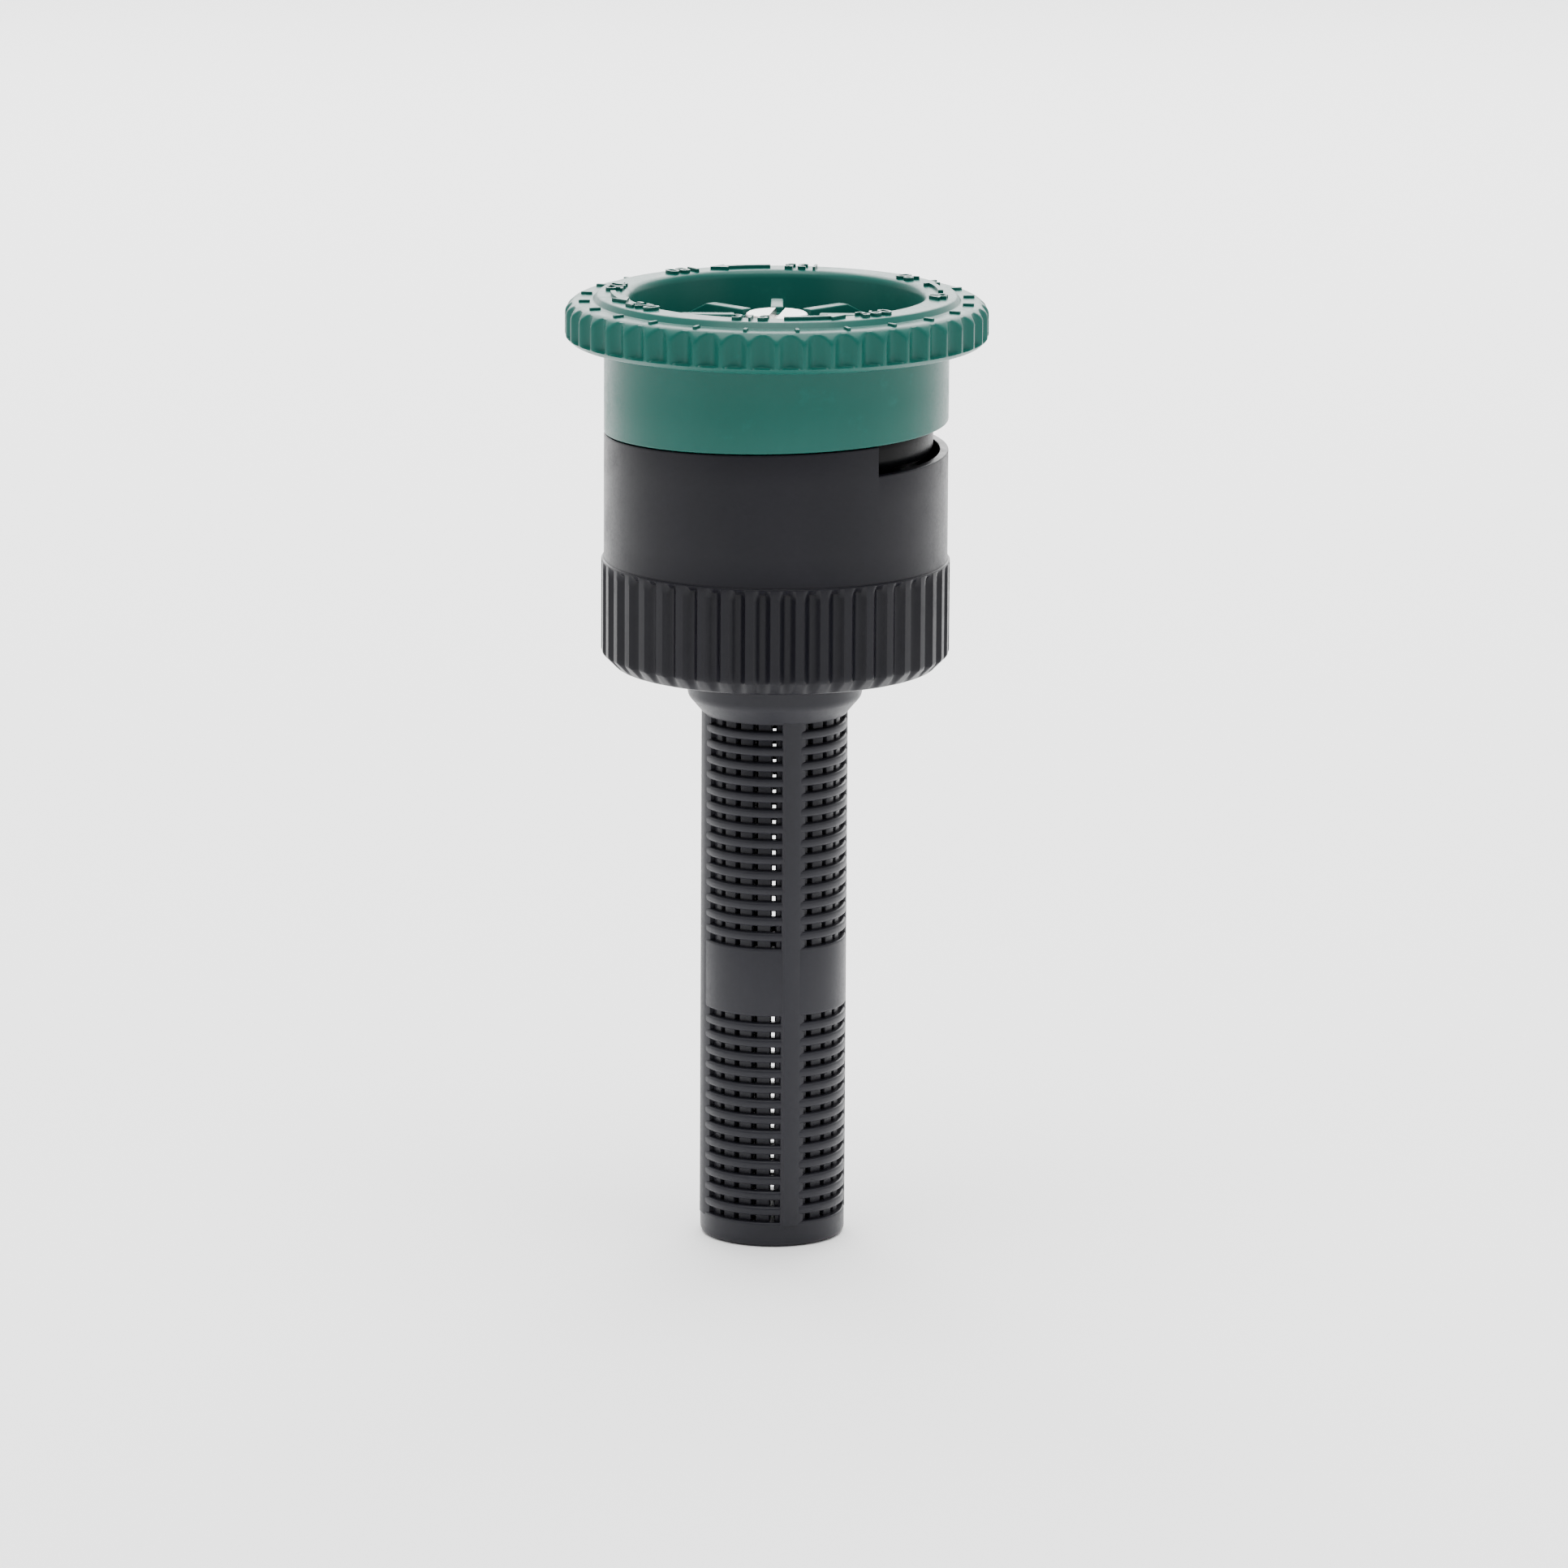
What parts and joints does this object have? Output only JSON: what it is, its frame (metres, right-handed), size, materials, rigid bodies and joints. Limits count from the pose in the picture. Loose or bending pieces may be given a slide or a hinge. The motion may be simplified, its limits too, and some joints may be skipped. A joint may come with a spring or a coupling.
{
  "type": "adjustable arc spray nozzle",
  "caption": "Adjustable-arc spray nozzle with a turning scalloped collar, flow screw and long filter screen, for a pop-up sprinkler's riser.",
  "frame": {"origin": "on the nozzle's axis, in the plane of the seat inside the body where the filter's flange is clamped by the riser's rim", "axes": "+Z along the nozzle's axis, from the filter towards the top face; -Y is the front, opposite the middle of the body's ramp"},
  "size_m": [0.026, 0.026, 0.0593],
  "materials": {
    "body_plastic": "satin",
    "core_plastic": "satin",
    "collar_plastic": "satin",
    "filter_plastic": "satin",
    "stainless": "brushed",
    "seal_rubber": "matte",
    "plug_plastic": "matte"
  },
  "bodies": {
    "base": {"nozzle_body": "body_plastic", "deflector_core": "core_plastic", "core_retaining_ring": "stainless", "filter_screen": "filter_plastic"},
    "collar_carriage": {"collar_seal_ring": "seal_rubber"},
    "collar": {"arc_collar": "collar_plastic"},
    "screw_carriage": {"screw_seal_ring": "seal_rubber"},
    "screw": {"radius_screw": "stainless", "throttle_plug": "plug_plastic"}
  },
  "joints": [
    {"name": "collar_lift", "type": "slide", "parent": "base", "child": "collar_carriage", "axis": [0, 0, 1], "range_m": [-0.00044, 0.00134]},
    {"name": "arc_turn", "type": "hinge", "parent": "collar_carriage", "child": "collar", "pos_m": [0, 0, 0], "axis": [0, 0, 1], "range_deg": [-88.1, 268.1]},
    {"name": "screw_lift", "type": "slide", "parent": "base", "child": "screw_carriage", "axis": [0, 0, 1], "range_m": [-0.00055, 0]},
    {"name": "screw_turn", "type": "hinge", "parent": "screw_carriage", "child": "screw", "pos_m": [0, 0, 0], "axis": [0, 0, 1], "range_deg": [-495.1, 0.1]}
  ],
  "couplings": [
    {"joint": "arc_turn", "follows": "collar_lift", "rad_per_m": 3490.7},
    {"joint": "screw_turn", "follows": "screw_lift", "rad_per_m": 15708}
  ]
}
